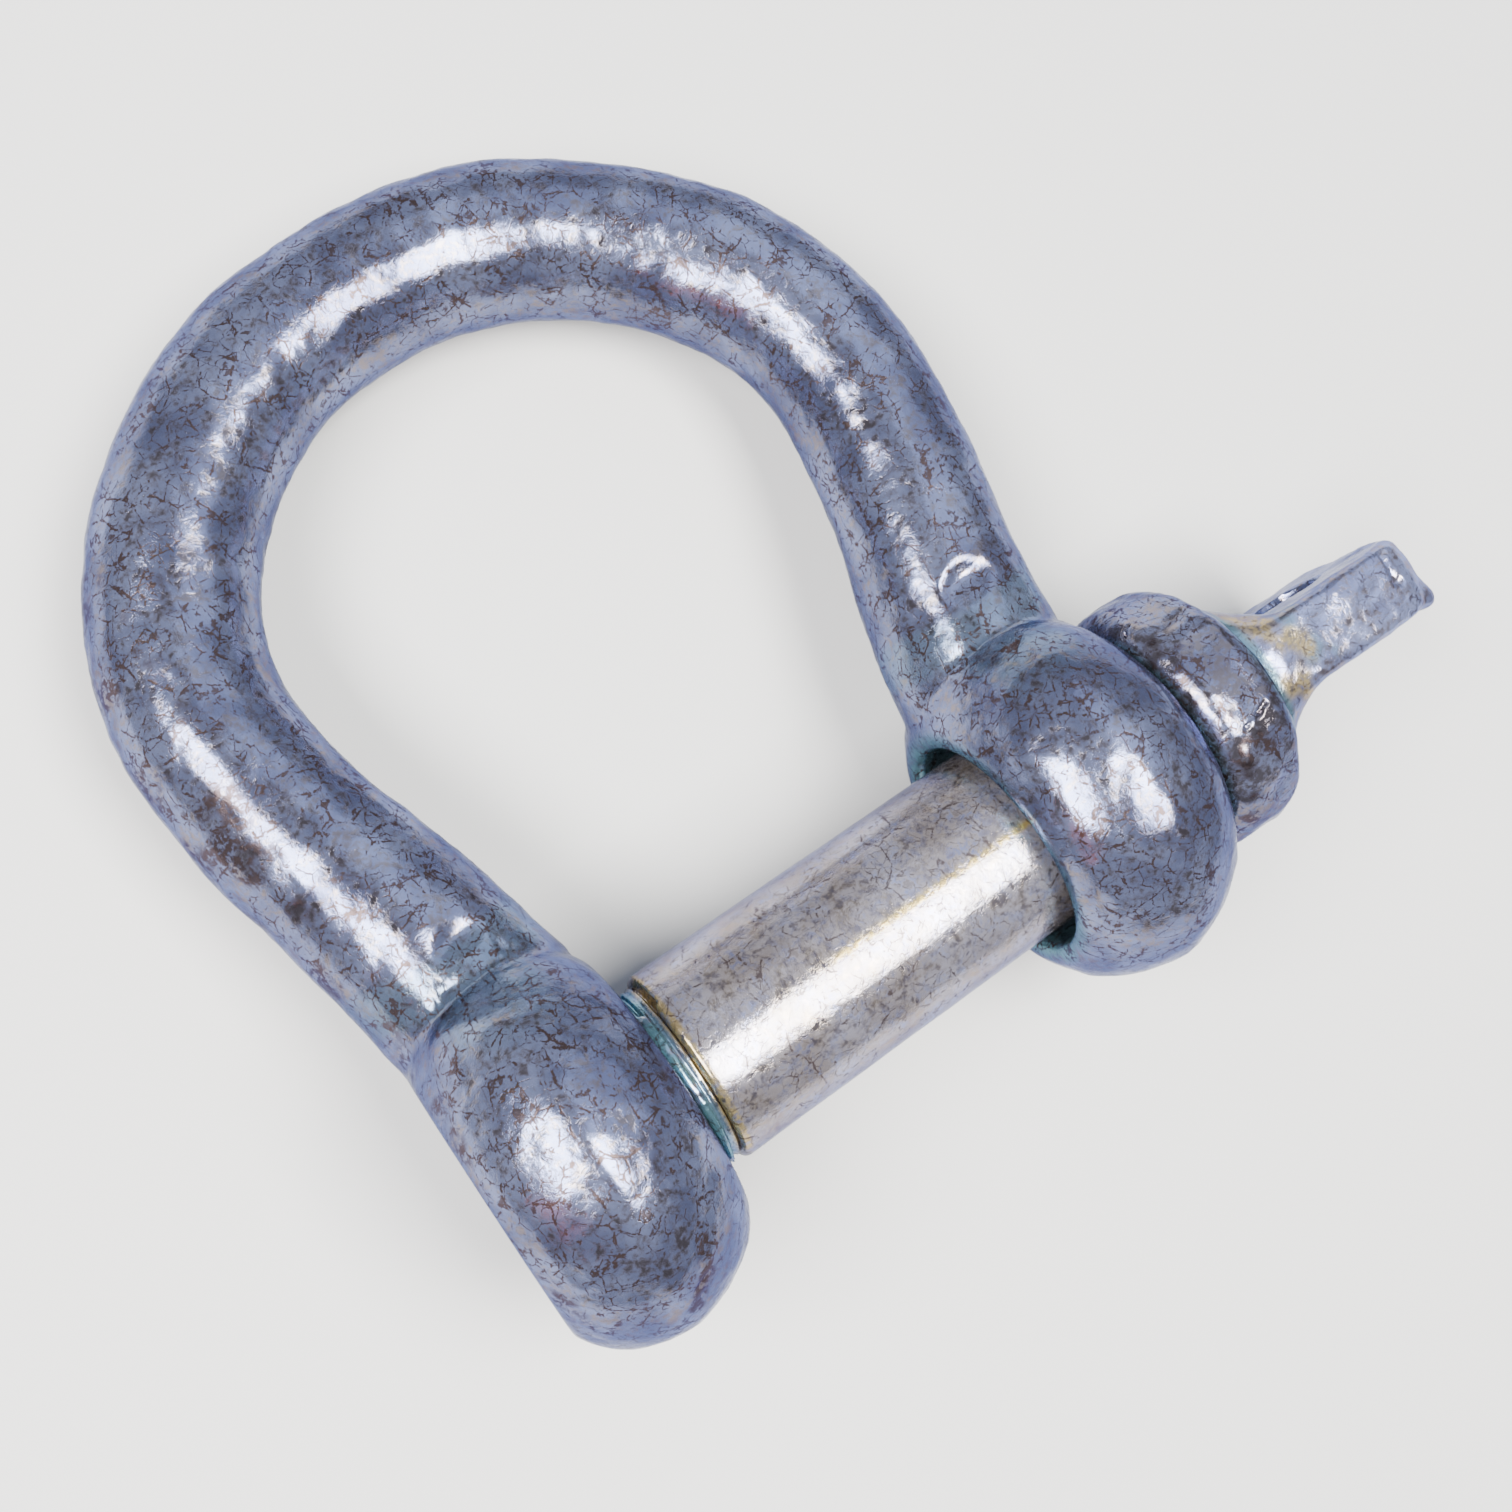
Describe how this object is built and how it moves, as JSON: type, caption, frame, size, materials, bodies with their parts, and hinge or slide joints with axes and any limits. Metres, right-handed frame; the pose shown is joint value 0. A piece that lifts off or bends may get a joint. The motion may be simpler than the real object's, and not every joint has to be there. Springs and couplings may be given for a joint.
{
  "type": "screw-pin bow shackle",
  "caption": "Bow shackle: a round-bar bow ending in two ears, closed by a screw pin with a collar and a flat drilled tab.",
  "frame": {"origin": "middle of the jaw, on the pin's axis", "axes": "+X along the pin towards its collar and tab, +Y from the pin to the crown of the bow, +Z square to the plane of the bow"},
  "size_m": [0.071, 0.0656, 0.0232],
  "materials": {
    "bow_zinc": "zinc, weathered",
    "pin_zinc": "zinc, weathered",
    "collar_zinc": "zinc, weathered"
  },
  "bodies": {
    "bow_body": {"bow": "bow_zinc"},
    "collar_body": {"pin_collar": "collar_zinc"},
    "pin_body": {"screw_pin": "pin_zinc"}
  },
  "joints": [
    {"name": "pin_travel", "type": "slide", "parent": "bow_body", "child": "collar_body", "axis": [1, 0, 0], "range_m": [-0.0004, 0.049]},
    {"name": "pin_turn", "type": "hinge", "parent": "collar_body", "child": "pin_body", "pos_m": [0, 0, 0], "axis": [1, 0, 0], "range_deg": [-83, 10082]}
  ],
  "couplings": [
    {"joint": "pin_turn", "follows": "pin_travel", "rad_per_m": 3590.4}
  ]
}
